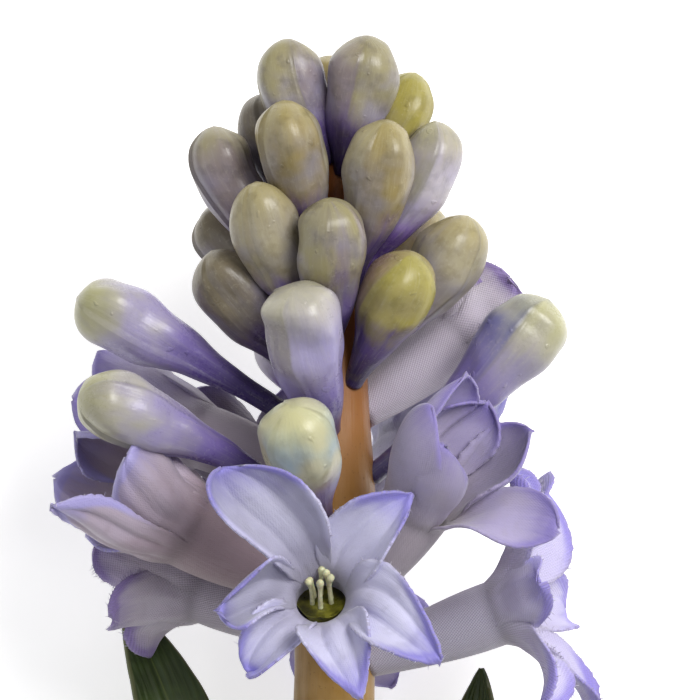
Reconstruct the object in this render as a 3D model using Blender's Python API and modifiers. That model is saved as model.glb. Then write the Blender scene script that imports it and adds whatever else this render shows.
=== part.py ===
"""A hyacinth flower lying on a surface: one thick cut stem with three strap leaves, a dense
head of closed buds, and a ring of open six-lobed florets below them, each with its stamens.

The flower is modelled standing up, with the stem along +Z and its front towards -Y, and the
empty named lay_down then lays it on its back florets, with its cut end on the surface.
Tables hold millimetres, as (across, front, height): to the right of the stem's axis, in
front of it, and above the lowest open floret's foot.
"""

import math

import bmesh
import bpy
from mathutils import Matrix, Vector

MM = 0.001

# Driving dimensions, in millimetres
STEM_FOOT = -112.0
STEM_CROWN = 77.0
STEM_FOOT_RADIUS = 6.6
STEM_SHOULDER = 30.0
STEM_SHOULDER_RADIUS = 5.9
STEM_CROWN_RADIUS = 2.4
SEAT_GAP = 0.3
PETAL_THICKNESS = 0.8
LEAF_THICKNESS = 1.2

# How far the flower is rolled about its stem as it lies, in degrees
ROLL = 0.6

# Buds: name, where the foot sits on the stem, tip (across, front, height), head radius,
# how far the stalk bows outwards
BUDS = (
    ("bud_crown_left", 72, (-6.4, 4.6, 93.8), 4.6, 1.6),
    ("bud_crown_right", 70, (4.8, 7.2, 94.6), 4.9, 0.8),
    ("bud_crown_back", 73, (-0.8, -5.6, 92.0), 4.2, 0.8),
    ("bud_crown_side", 67, (11.0, -1.8, 89.6), 4.2, 1.6),
    ("bud_crown_far_left", 63, (-10.4, -3.2, 86.4), 4.2, 1.4),
    ("bud_upper_front", 58, (-6.9, 11.6, 84.6), 4.9, 1.4),
    ("bud_upper_left", 55, (-17.2, 3.0, 81.4), 4.6, 2.2),
    ("bud_upper_right", 50, (7.4, 12.4, 82.2), 4.7, 1.4),
    ("bud_upper_side", 56, (15.0, 4.4, 81.8), 4.4, 1.8),
    ("bud_upper_back_left", 58, (-6.0, -12.6, 82.6), 4.5, 1.4),
    ("bud_upper_back_right", 57, (6.2, -13.0, 82.2), 4.6, 1.4),
    ("bud_middle_left", 46, (-10.9, 12.6, 73.0), 4.7, 1.4),
    ("bud_middle_front", 44, (-0.4, 16.4, 71.0), 5.0, 1.6),
    ("bud_middle_right", 43, (19.2, 3.8, 68.6), 4.9, 1.2),
    ("bud_middle_far_left", 50, (-17.6, -6.2, 70.6), 4.4, 1.4),
    ("bud_middle_far_right", 50, (13.8, -9.6, 70.6), 4.5, 1.4),
    ("bud_middle_back_left", 47, (-10.4, -15.8, 69.0), 4.6, 1.4),
    ("bud_middle_back_right", 45, (1.4, -19.0, 69.4), 4.6, 1.4),
    ("bud_lower_right", 40, (11.0, 14.2, 63.2), 5.1, 0.4),
    ("bud_lower_front", 33, (-5.2, 20.4, 59.2), 5.8, 0.8),
    ("bud_lower_left", 41, (-17.0, 6.6, 63.8), 4.8, 1.4),
    ("bud_lower_back_left", 37, (-9.0, -20.0, 56.0), 4.8, 1.2),
    ("bud_lower_back_right", 33, (8.0, -21.0, 56.4), 4.8, 1.2),
    ("bud_open_front", 22, (-5.8, 20.6, 41.8), 5.4, 0.4),
    ("bud_long_upper_left", 37, (-36.2, 5.4, 57.2), 4.8, -0.6),
    ("bud_long_lower_left", 27, (-35.0, 17.0, 43.8), 4.9, -0.8),
    ("bud_long_right", 27, (30.4, 1.0, 57.0), 5.6, 1.6),
)
BUD_STALK_RADIUS = 1.5
BUD_CROWN_STALK_RADIUS = 1.1
BUD_TAPER = 15.0
BUD_LONG_TAPER = 26.0
BUD_SIDES = 8
BUD_RINGS = 9

# Florets: name, where the foot sits on the stem, middle of the mouth (across, front, height),
# turn of the first lobe, and six lobes as (opening, sway, length, half width), with the
# angles in degrees: 0 opens no further than the tube, 90 lies flat across the mouth
CUP = ((44, 0, 14, 4.6), (54, 0, 15, 4.4)) * 3
FLORETS = (
    ("floret_front", 6, (-1.8, 18.4, 13.8), -40,
     ((84, -3, 15, 4.4), (78, 22, 20, 5.6), (92, 7, 13, 4.4),
      (96, -1, 11, 4.2), (96, -4, 16, 4.4), (88, -20, 18, 5.2))),
    ("floret_left", 16, (-22.0, 5.4, 25.4), 0,
     ((4, 0, 15, 4.6), (34, 0, 18, 4.8), (42, 0, 18, 4.6),
      (44, 0, 17, 4.8), (34, 0, 20, 4.8), (8, 0, 18, 5.0))),
    ("floret_right", 11, (12.2, 12.5, 28.0), 10,
     ((34, 0, 14, 4.6), (18, 0, 14, 5.0), (22, 0, 13, 4.8),
      (58, 0, 20, 4.8), (36, 0, 17, 4.8), (28, 0, 17, 4.6))),
    ("floret_low_right", 4, (23.0, 3.0, 12.5), 20,
     ((74, 0, 17, 4.6), (70, 0, 16, 4.4), (80, 0, 17, 4.6),
      (84, 0, 17, 4.4), (72, 0, 17, 4.6), (62, 0, 17, 4.4))),
    ("floret_high_right", 38, (16.5, -9.5, 51.0), 0,
     ((24, 0, 13, 4.6), (18, 0, 13, 4.6), (26, 0, 14, 4.6),
      (36, 0, 15, 4.6), (44, 0, 15, 4.6), (36, 0, 14, 4.6))),
    ("floret_high_left", 31, (-19.5, -8.0, 37.0), 30,
     ((12, 0, 16, 4.6), (30, 0, 16, 4.6), (46, 0, 15, 4.6),
      (40, 0, 14, 4.6), (24, 0, 17, 4.6), (12, 0, 17, 4.6))),
    ("floret_low_left", 8, (-18.0, -7.5, 15.0), 0,
     ((52, 0, 13, 4.4), (60, 0, 14, 4.6), (64, 0, 13, 4.4),
      (58, 0, 13, 4.6), (56, 0, 15, 4.4), (46, 0, 14, 4.6))),
    ("floret_back_left", 20, (-7.5, -17.0, 27.5), 30, CUP),
    ("floret_back_right", 25, (10.5, -18.2, 34.0), 0, CUP),
    ("floret_back", 4, (1.0, -15.0, 8.5), 30, ((62, 0, 12, 4.4),) * 6),
)
TUBE_FOOT_RADIUS = 1.7
TUBE_MOUTH_RADIUS = 4.5
TUBE_SWELL = 1.25
MOUTH_FLARE = 22.0
TUBE_ROWS = 3
LOBE_ROWS = 4
LOBE_COLUMNS = 2
LOBE_CUP = 34.0
LOBE_TIP_SHARE = 0.14
SECTOR = math.radians(30.0)

# Stamens, on a plug that fills the floret's tube just inside the mouth
PLUG_DEPTH = 3.4
PLUG_HEIGHT = 2.2
STAMEN_LENGTH = 3.6
STAMEN_SHARE = 0.42

# Leaves: name, foot (across, front, height), middle, tip, half width, which way the inside
# faces, as degrees round the stem from the front
LEAVES = (
    ("leaf_left", (-7.4, -1.0, -108.0), (-17.0, -6.0, -45.0), (-25.2, -17.4, 9.8), 8.5, 20.0),
    ("leaf_right", (7.4, -1.5, -106.0), (15.5, -6.0, -50.0), (21.8, -14.0, 3.6), 8.0, -20.0),
    ("leaf_front", (1.5, 7.4, -106.0), (4.0, 12.5, -62.0), (10.0, 19.0, -20.0), 7.5, 180.0),
)
LEAF_ROWS = 8
LEAF_CHANNEL = 0.25

GREEN = (0.06, 0.13, 0.03, 1.0)
STEM_TAN = (0.42, 0.24, 0.09, 1.0)
BUD_OLIVE = (0.46, 0.45, 0.24, 1.0)
PETAL_LAVENDER = (0.48, 0.44, 0.72, 1.0)
STAMEN_CREAM = (0.68, 0.68, 0.40, 1.0)


def clear_scene():
    for obj in list(bpy.data.objects):
        bpy.data.objects.remove(obj)


def standing(point):
    """A table's (across, front, height) as a point of the standing flower, in metres."""
    across, front, height = point
    return Vector((across, -front, height)) * MM


def material(name, colour, roughness):
    made = bpy.data.materials.new(name)
    made.use_nodes = True
    shader = made.node_tree.nodes["Principled BSDF"]
    shader.inputs["Base Color"].default_value = colour
    shader.inputs["Roughness"].default_value = roughness
    shader.inputs["Metallic"].default_value = 0.0
    return made


def add_object(name, mesh, collection, parent):
    obj = bpy.data.objects.new(name, mesh)
    collection.objects.link(obj)
    obj.parent = parent
    return obj


def mesh_from(work, name, finish=None):
    mesh = bpy.data.meshes.new(name)
    work.to_mesh(mesh)
    work.free()
    mesh.shade_smooth()
    if finish:
        mesh.materials.append(finish)
    return mesh


def stem_radius(height):
    """The stem narrows a little up to its shoulder, then quickly through the head."""
    if height < STEM_SHOULDER:
        share = (height - STEM_FOOT) / (STEM_SHOULDER - STEM_FOOT)
        return STEM_FOOT_RADIUS + (STEM_SHOULDER_RADIUS - STEM_FOOT_RADIUS) * share
    share = (height - STEM_SHOULDER) / (STEM_CROWN - STEM_SHOULDER)
    return STEM_SHOULDER_RADIUS + (STEM_CROWN_RADIUS - STEM_SHOULDER_RADIUS) * share


def stem_mesh(name, grown, sides, finish=None):
    """The stem as one turned solid, grown outwards by some millimetres."""
    work = bmesh.new()
    profile = [
        (0.0, STEM_CROWN + grown),
        (STEM_CROWN_RADIUS * 0.7 + grown, STEM_CROWN + grown),
        (STEM_CROWN_RADIUS + grown, STEM_CROWN - 1.0),
        (STEM_SHOULDER_RADIUS + grown, STEM_SHOULDER),
        (STEM_FOOT_RADIUS + grown, STEM_FOOT - grown),
        (0.0, STEM_FOOT - grown),
    ]
    points = [work.verts.new((radius * MM, 0.0, height * MM)) for radius, height in profile]
    for upper, lower in zip(points, points[1:]):
        work.edges.new((upper, lower))
    bmesh.ops.spin(
        work, geom=work.verts[:] + work.edges[:], cent=(0, 0, 0), axis=(0, 0, 1),
        angle=math.tau, steps=sides, use_merge=True, use_duplicate=False,
    )
    bmesh.ops.remove_doubles(work, verts=work.verts, dist=0.00001)
    bmesh.ops.recalc_face_normals(work, faces=work.faces)
    return mesh_from(work, name, finish)


def cut_by_stem(obj, clearance):
    """The foot of every bud, floret and leaf is shaped to the stem that it sits on."""
    cut = obj.modifiers.new("seat_on_stem", "BOOLEAN")
    cut.operation = "DIFFERENCE"
    cut.object = clearance


def bud_radius(from_tip, head, stalk, taper):
    """An egg-shaped head that runs out into a thin stalk."""
    cap = 1.25 * head
    if from_tip < cap:
        return head * math.sqrt(max(0.0, 1.0 - (1.0 - from_tip / cap) ** 2))
    share = min(1.0, (from_tip - cap) / taper)
    return stalk + (head - stalk) * (0.5 + 0.5 * math.cos(math.pi * share)) ** 1.2


def spine_point(foot, tip, bow, share):
    """A point on a stalk that bows away from the stem between its foot and its tip."""
    chord = tip - foot
    outwards = Vector((chord.x, chord.y, 0.0)).normalized()
    sideways = outwards - chord * (outwards.dot(chord) / chord.length_squared)
    return foot + chord * share + sideways.normalized() * bow * MM * 4 * share * (1 - share)


def bud_mesh(name, foot, tip, head, bow, stalk, taper, finish):
    """A sphere whose rings are moved onto the spine, each with the radius found there."""
    work = bmesh.new()
    bmesh.ops.create_uvsphere(work, u_segments=BUD_SIDES, v_segments=BUD_RINGS, radius=1.0)
    length = (tip - foot).length
    for vert in work.verts:
        ring = math.acos(max(-1.0, min(1.0, vert.co.z))) / math.pi
        from_tip = length / MM * ring ** 1.35
        share = 1.0 - from_tip * MM / length
        along = spine_point(foot, tip, bow, share + 0.01) - spine_point(foot, tip, bow, share - 0.01)
        centre = spine_point(foot, tip, bow, share)
        turn = along.to_track_quat("Z", "Y")
        around = Vector((vert.co.x, vert.co.y, 0.0))
        radius = 0.0
        if around.length > 1e-6 and ring < 0.99:
            radius = bud_radius(from_tip, head, stalk, taper) * MM
            around.normalize()
        vert.co = centre + turn @ (around * radius)
    bmesh.ops.recalc_face_normals(work, faces=work.faces)
    return mesh_from(work, name, finish)


def tube_radius(share):
    """The floret's tube widens quickly from a thin foot, then slowly up to the mouth."""
    return TUBE_FOOT_RADIUS + (TUBE_MOUTH_RADIUS - TUBE_FOOT_RADIUS) * math.sin(
        0.5 * math.pi * share
    ) ** (1.0 / TUBE_SWELL)


def lobe_half_width(share, widest):
    """A lobe is narrow at the mouth, widest at its middle and blunt at its tip."""
    start = TUBE_MOUTH_RADIUS * SECTOR
    if share < 0.5:
        return start + (widest - start) * math.sin(math.pi * share)
    end = max(0.0, 1.0 - ((share - 0.5) / 0.5) ** 2.4)
    return widest * (LOBE_TIP_SHARE + (1.0 - LOBE_TIP_SHARE) * math.sqrt(end))


def lobe_spine(opening, sway, length):
    """(radius, side, rise, lean) at each row of a lobe, in millimetres from the mouth."""
    radius, side, rise = TUBE_MOUTH_RADIUS, 0.0, 0.0
    rows = []
    steps = 10
    for row in range(LOBE_ROWS + 1):
        share = row / LOBE_ROWS
        lean = math.radians(MOUTH_FLARE + (opening - MOUTH_FLARE) * share ** 0.6)
        rows.append((radius, side, rise, lean))
        for step in range(steps):
            part = (row + (step + 0.5) / steps) / LOBE_ROWS
            bend = math.radians(MOUTH_FLARE + (opening - MOUTH_FLARE) * min(1.0, part) ** 0.6)
            turn = math.radians(sway) * min(1.0, 2.0 * part)
            run = length / LOBE_ROWS / steps
            radius += run * math.sin(bend) * math.cos(turn)
            rise += run * math.cos(bend) * math.cos(turn)
            side += run * math.sin(turn)
    return rows


def floret_mesh(name, tube_length, turn, lobes, finish):
    """Six grids side by side: each is a sixth of the tube and one lobe."""
    work = bmesh.new()
    rows = TUBE_ROWS + LOBE_ROWS
    for index, (opening, sway, length, widest) in enumerate(lobes):
        grid = bmesh.ops.create_grid(work, x_segments=LOBE_COLUMNS, y_segments=rows, size=1.0)
        spine = lobe_spine(opening, sway, length)
        azimuth = math.radians(turn + 60 * index)
        outwards = Vector((math.cos(azimuth), math.sin(azimuth), 0.0))
        sideways = Vector((-math.sin(azimuth), math.cos(azimuth), 0.0))
        for vert in grid["verts"]:
            across = vert.co.x
            row = round((vert.co.y + 1.0) / 2.0 * rows)
            if row <= TUBE_ROWS:
                share = row / TUBE_ROWS
                radius, side, rise = tube_radius(share), 0.0, tube_length * share
                half, cup = radius * SECTOR, SECTOR
                inwards = -outwards
            else:
                share = (row - TUBE_ROWS) / LOBE_ROWS
                radius, side, rise, lean = spine[row - TUBE_ROWS]
                rise += tube_length
                half = min(lobe_half_width(share, widest), 0.96 * radius * math.tan(SECTOR))
                cup = math.radians(LOBE_CUP)
                inwards = Vector((0, 0, math.sin(lean))) - outwards * math.cos(lean)
            bend = half / cup
            point = outwards * radius + sideways * (side + bend * math.sin(cup * across))
            point += inwards * bend * (1.0 - math.cos(cup * across))
            point.z += rise
            vert.co = point * MM
    bmesh.ops.remove_doubles(work, verts=work.verts, dist=0.00002)
    bmesh.ops.recalc_face_normals(work, faces=work.faces)
    return mesh_from(work, name, finish)


def floret_frame(foot, mouth):
    """A turn whose Z runs out along the tube and whose X leans up the stem."""
    outwards = (mouth - foot).normalized()
    up = Vector((0, 0, 1)) - outwards * outwards.z
    up.normalize()
    return Matrix((up, outwards.cross(up), outwards)).transposed()


def stamens_mesh(name, tube_length, finish):
    """A short plug inside the tube's mouth, with six stamens drawn out of its top."""
    work = bmesh.new()
    base = tube_length - PLUG_DEPTH
    clear = PETAL_THICKNESS / 2 + SEAT_GAP + 0.12
    lower = (tube_radius(base / tube_length) - clear) * MM * math.cos(math.pi / 12)
    upper = (tube_radius((base + PLUG_HEIGHT) / tube_length) - clear) * MM * math.cos(math.pi / 12)
    bmesh.ops.create_cone(
        work, segments=12, radius1=lower, radius2=upper, depth=PLUG_HEIGHT * MM, cap_ends=True,
    )
    bmesh.ops.translate(work, verts=work.verts, vec=(0, 0, (base + PLUG_HEIGHT / 2) * MM))
    top = max(work.faces, key=lambda face: face.calc_center_median().z)
    ring = bmesh.ops.inset_region(work, faces=[top], thickness=upper * STAMEN_SHARE)["faces"]
    spread = sorted(ring, key=lambda face: math.atan2(*face.calc_center_median().yx))
    feet = spread[::2]
    bmesh.ops.inset_individual(work, faces=feet, thickness=upper * STAMEN_SHARE * 0.14)
    drawn = bmesh.ops.extrude_discrete_faces(work, faces=feet)["faces"]
    for face in drawn:
        bmesh.ops.translate(work, verts=face.verts, vec=(0, 0, STAMEN_LENGTH * MM))
    bmesh.ops.recalc_face_normals(work, faces=work.faces)
    return mesh_from(work, name, finish)


def leaf_mesh(name, foot, middle, tip, half, facing, finish):
    """A strap along a bent line, channelled across and drawn to a point at its tip."""
    work = bmesh.new()
    bmesh.ops.create_grid(work, x_segments=2, y_segments=LEAF_ROWS, size=1.0)
    around = math.radians(facing)
    inside = Vector((math.sin(around), -math.cos(around), 0.0))
    control = middle * 2.0 - (foot + tip) / 2.0
    for vert in work.verts:
        across, share = vert.co.x, (vert.co.y + 1.0) / 2.0
        point = foot * (1 - share) ** 2 + control * 2 * share * (1 - share) + tip * share ** 2
        along = (control - foot) * (1 - share) + (tip - control) * share
        sideways = along.cross(inside).normalized()
        facing_in = sideways.cross(along).normalized()
        if facing_in.dot(inside) < 0:
            facing_in.negate()
        width = half * MM * (0.62 + 0.38 * math.sin(math.pi * min(1.0, share * 1.5)))
        width *= math.sqrt(max(0.0, 1.0 - max(0.0, (share - 0.45) / 0.55) ** 2.2)) * 0.93 + 0.07
        vert.co = point + sideways * width * across + facing_in * width * LEAF_CHANNEL * across ** 2
    bmesh.ops.recalc_face_normals(work, faces=work.faces)
    return mesh_from(work, name, finish)


def solidify(obj, thickness):
    walls = obj.modifiers.new("thickness", "SOLIDIFY")
    walls.thickness = thickness * MM
    walls.offset = 0.0


def add_buds(collection, parent, clearance):
    finish = material("bud_shell", BUD_OLIVE, 0.4)
    for name, height, tip, head, bow in BUDS:
        crowned = height > 60
        stalk = BUD_CROWN_STALK_RADIUS if crowned else BUD_STALK_RADIUS
        taper = BUD_LONG_TAPER if "long" in name else BUD_TAPER
        mesh = bud_mesh(
            name, standing((0, 0, height)), standing(tip), head, bow, stalk, taper, finish
        )
        cut_by_stem(add_object(name, mesh, collection, parent), clearance)


def add_florets(collection, parent, clearance):
    petal = material("petal", PETAL_LAVENDER, 0.8)
    centre = material("stamen", STAMEN_CREAM, 0.6)
    for name, height, mouth_at, turn, lobes in FLORETS:
        foot, mouth = standing((0, 0, height)), standing(mouth_at)
        tube_length = (mouth - foot).length / MM
        placed = floret_frame(foot, mouth).to_euler()
        stamens = "stamens" + name.removeprefix("floret")
        for piece, mesh in (
            (name, floret_mesh(name, tube_length, turn, lobes, petal)),
            (stamens, stamens_mesh(stamens, tube_length, centre)),
        ):
            obj = add_object(piece, mesh, collection, parent)
            obj.location = foot
            obj.rotation_euler = placed
            if piece == name:
                solidify(obj, PETAL_THICKNESS)
                cut_by_stem(obj, clearance)


def add_leaves(collection, parent, clearance):
    finish = material("leaf", GREEN, 0.5)
    for name, foot, middle, tip, half, facing in LEAVES:
        points = [standing(point) for point in (foot, middle, tip)]
        obj = add_object(
            name, leaf_mesh(name, *points, half, facing, finish), collection, parent
        )
        solidify(obj, LEAF_THICKNESS)
        cut_by_stem(obj, clearance)


def rest_on_surface(parent, collection):
    """Lays the flower down on its cut end and its back florets, stands its lowest point on
    Z = 0 and centres it over the origin."""
    roll = Matrix.Rotation(math.radians(ROLL), 4, "Z")
    bpy.context.view_layer.update()
    graph = bpy.context.evaluated_depsgraph_get()
    points = []
    for obj in collection.objects:
        if obj.type == "MESH":
            evaluated = obj.evaluated_get(graph)
            placed = roll @ evaluated.matrix_world
            points += [placed @ vert.co for vert in evaluated.data.vertices]
    cut_end = Vector((0.0, STEM_FOOT_RADIUS, STEM_FOOT)) * MM
    lean = max(
        math.atan2(point.y - cut_end.y, point.z - cut_end.z)
        for point in points if point.z > 0.0
    )
    turn = Matrix.Rotation(lean - math.radians(90.0), 4, "X")
    points = [turn @ point for point in points]
    low = Vector([min(point[axis] for point in points) for axis in range(3)])
    high = Vector([max(point[axis] for point in points) for axis in range(3)])
    parent.rotation_euler = (turn @ roll).to_euler()
    parent.location = -Vector(((low.x + high.x) / 2, (low.y + high.y) / 2, low.z))
    bpy.context.view_layer.update()


def main():
    clear_scene()
    parts = bpy.data.collections.new("hyacinth_flower")
    cutters = bpy.data.collections.new("cutters")
    for collection in (parts, cutters):
        bpy.context.scene.collection.children.link(collection)
    lay_down = add_object("lay_down", None, parts, None)

    clearance = add_object(
        "stem_clearance", stem_mesh("stem_clearance", SEAT_GAP, 16), cutters, lay_down
    )
    clearance.hide_render = True
    clearance.display_type = "WIRE"
    add_object(
        "stem", stem_mesh("stem", 0.0, 16, material("stem", STEM_TAN, 0.45)), parts, lay_down
    )
    add_leaves(parts, lay_down, clearance)
    add_buds(parts, lay_down, clearance)
    add_florets(parts, lay_down, clearance)
    rest_on_surface(lay_down, parts)


main()
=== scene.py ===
"""Looks for an artificial hyacinth that lies on a pale surface: waxy buds, woven florets with
frayed rims, moulded stamens, a smooth amber stem and veined strap leaves.

Tables hold millimetres in the flower's own standing frame, as (across, front, height), and
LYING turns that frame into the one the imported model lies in.
"""

import math
import random
from typing import NamedTuple

import bmesh
import bpy
from bpy.props import FloatProperty, FloatVectorProperty, IntProperty, PointerProperty
from mathutils import Matrix, Vector, noise


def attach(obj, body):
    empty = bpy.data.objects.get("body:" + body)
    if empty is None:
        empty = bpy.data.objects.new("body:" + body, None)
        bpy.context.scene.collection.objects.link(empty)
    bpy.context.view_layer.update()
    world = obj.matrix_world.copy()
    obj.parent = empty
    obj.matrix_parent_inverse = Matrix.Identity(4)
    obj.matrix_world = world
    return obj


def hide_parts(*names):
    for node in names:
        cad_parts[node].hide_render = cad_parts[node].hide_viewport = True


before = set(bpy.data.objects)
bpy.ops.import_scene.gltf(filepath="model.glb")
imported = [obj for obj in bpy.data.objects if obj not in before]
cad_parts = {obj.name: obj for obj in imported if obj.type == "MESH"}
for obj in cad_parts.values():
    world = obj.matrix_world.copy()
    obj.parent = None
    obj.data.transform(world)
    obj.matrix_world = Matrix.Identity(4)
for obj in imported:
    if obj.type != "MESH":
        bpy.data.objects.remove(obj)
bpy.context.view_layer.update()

bl_info = {
    "name": "Artificial Hyacinth",
    "version": (1, 0, 0),
    "blender": (4, 5, 0),
    "location": "View3D > Sidebar > Hyacinth",
    "description": "Builds the buds, florets, stamens, stem and leaves of a hyacinth",
    "category": "Object",
}

MM = 0.001

# how the flower lies: leaning on its cut end and its back florets, centred over the origin
LEAN = math.radians(11.1343)
ROLL = math.radians(0.6)
LIES_AT = Vector((1.7712, 9.8638, 28.104)) * MM
LYING = (
    Matrix.Translation(LIES_AT)
    @ Matrix.Rotation(LEAN - math.pi / 2, 4, "X")
    @ Matrix.Rotation(ROLL, 4, "Z")
)

STEM_FOOT, STEM_SHOULDER, STEM_CROWN, STEM_TIP = -112.0, 30.0, 77.0, 82.0
STEM_RADII = (6.6, 5.9, 2.4)

# name: (foot height, tip, head radius, bow, finish, turn of the seams in degrees)
BUDS = {
    "bud_crown_left": (72, (-6.4, 4.6, 93.8), 4.6, 1.6, "grey", 95),
    "bud_crown_right": (70, (4.8, 7.2, 94.2), 4.8, 0.8, "grey", 80),
    "bud_crown_back": (73, (-0.8, -5.6, 92.0), 4.2, 0.8, "olive", 10),
    "bud_crown_side": (67, (11.0, -1.8, 89.6), 4.2, 1.6, "yellow", 40),
    "bud_crown_far_left": (63, (-10.4, -3.2, 86.4), 4.2, 1.4, "slate", 70),
    "bud_upper_front": (58, (-6.9, 11.6, 84.6), 4.9, 1.4, "olive", 30),
    "bud_upper_left": (55, (-17.2, 3.0, 81.4), 4.6, 2.2, "grey", 140),
    "bud_upper_right": (50, (7.4, 12.4, 82.2), 4.7, 1.4, "olive", 60),
    "bud_upper_side": (56, (15.0, 4.4, 81.8), 4.4, 1.8, "lilac", 100),
    "bud_upper_back_left": (58, (-6.0, -12.6, 82.6), 4.5, 1.4, "olive", 15),
    "bud_upper_back_right": (57, (6.2, -13.0, 82.2), 4.6, 1.4, "grey", 75),
    "bud_middle_left": (46, (-10.9, 12.6, 73.0), 4.7, 1.4, "olive", 50),
    "bud_middle_front": (44, (-0.4, 16.4, 71.0), 5.0, 1.6, "grey", 85),
    "bud_middle_right": (43, (19.2, 3.8, 68.6), 4.9, 1.2, "olive", 20),
    "bud_middle_far_left": (50, (-17.6, -6.2, 70.6), 4.4, 1.4, "slate", 5),
    "bud_middle_far_right": (50, (13.8, -9.6, 70.6), 4.5, 1.4, "olive", 65),
    "bud_middle_back_left": (47, (-10.4, -15.8, 69.0), 4.6, 1.4, "grey", 35),
    "bud_middle_back_right": (45, (1.4, -19.0, 69.4), 4.6, 1.4, "olive", 90),
    "bud_lower_right": (40, (11.0, 14.2, 63.2), 5.1, 0.4, "yellow", 60),
    "bud_lower_front": (33, (-5.2, 20.4, 58.2), 5.3, 0.8, "cream", 60),
    "bud_lower_left": (41, (-17.0, 6.6, 63.8), 4.8, 1.4, "slate", 45),
    "bud_lower_back_left": (37, (-9.0, -20.0, 56.0), 4.8, 1.2, "lilac", 25),
    "bud_lower_back_right": (33, (8.0, -21.0, 56.4), 4.8, 1.2, "cream", 55),
    "bud_open_front": (22, (-5.8, 20.6, 41.8), 5.4, 0.4, "sky", 30),
    "bud_long_upper_left": (37, (-36.2, 5.4, 57.2), 4.8, -0.6, "long", 60),
    "bud_long_lower_left": (27, (-35.0, 17.0, 43.8), 4.9, -0.8, "long", 120),
    "bud_long_right": (27, (30.4, 1.0, 57.0), 5.4, 1.6, "dusk", 75),
}
# how square a bud's head is
USUAL_BLUNT = 2.25
BLUNT = {
    "bud_lower_front": 6.0, "bud_long_upper_left": 2.8, "bud_long_lower_left": 2.8,
    "bud_long_right": 2.9, "bud_open_front": 2.5, "bud_crown_right": 2.5,
}
# how far each sepal is painted in the bud's second colour, from the one after the seam
SEPALS = {
    "bud_middle_right": (0.8, 1.0, 0.7),
    "bud_crown_side": (0.0, 0.0, 0.2),
    "bud_lower_right": (0.0, 1.0, 0.85), "bud_crown_right": (1.0, 0.3, 0.0),
    "bud_crown_left": (0.2, 0.6, 0.9), "bud_upper_side": (0.1, 0.6, 0.9),
    "bud_open_front": (0.0, 0.6, 0.3), "bud_upper_front": (0.1, 0.9, 0.4),
    "bud_long_right": (0.0, 0.4, 1.0),
}
# stalks are thinner on buds whose feet are above CROWN_HEIGHT
BUD_STALK, CROWN_STALK, CROWN_HEIGHT = 1.5, 1.1, 60.0
# the length over which a head narrows to its stalk, and a bud that shares the long ones' taper
BUD_TAPER, LONG_TAPER = 15.0, 26.0
FLUTED = ("bud_lower_front",)
# a head's rounded end as a share of its radius, and how deep stalks and tubes enter the stem
HEAD_CAP = 1.25
STALK_SINK, TUBE_SINK = 1.2, 1.4


class Lobe(NamedTuple):
    """One petal beyond the tube's mouth: degrees and millimetres.

    opening is its lean at the tip from the floret's axis, curl what the last third adds to it,
    sway its turn to the left, point 0 for a round tip and 1 for a sharp one, peak the share of
    the length where it is widest, fray the share of its rim that has loose threads, and dusk
    how much painted shade darkens it inside its rim."""
    opening: float
    length: float
    half: float
    sway: float = 0.0
    curl: float = 10.0
    lift: float = 0.0
    cup: float = 46.0
    twist: float = 0.0
    point: float = 0.3
    peak: float = 0.5
    fray: float = 0.05
    dusk: float = 0.0


CUPPED = (Lobe(44, 14, 5.2), Lobe(54, 15, 5.0, curl=22, lift=0.7, point=0.5)) * 3


class Floret(NamedTuple):
    """One open flower: its foot's height on the stem, its mouth's centre, its first lobe's
    turn, its lobes, its finish, how far its stamens nod, how deep its petals' channels are
    and its mouth's radius."""
    foot: float
    mouth: tuple
    turn: float
    lobes: tuple
    finish: str
    nod: float = 0.0
    ridge: float = 0.25
    bore: float = 4.5


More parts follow.
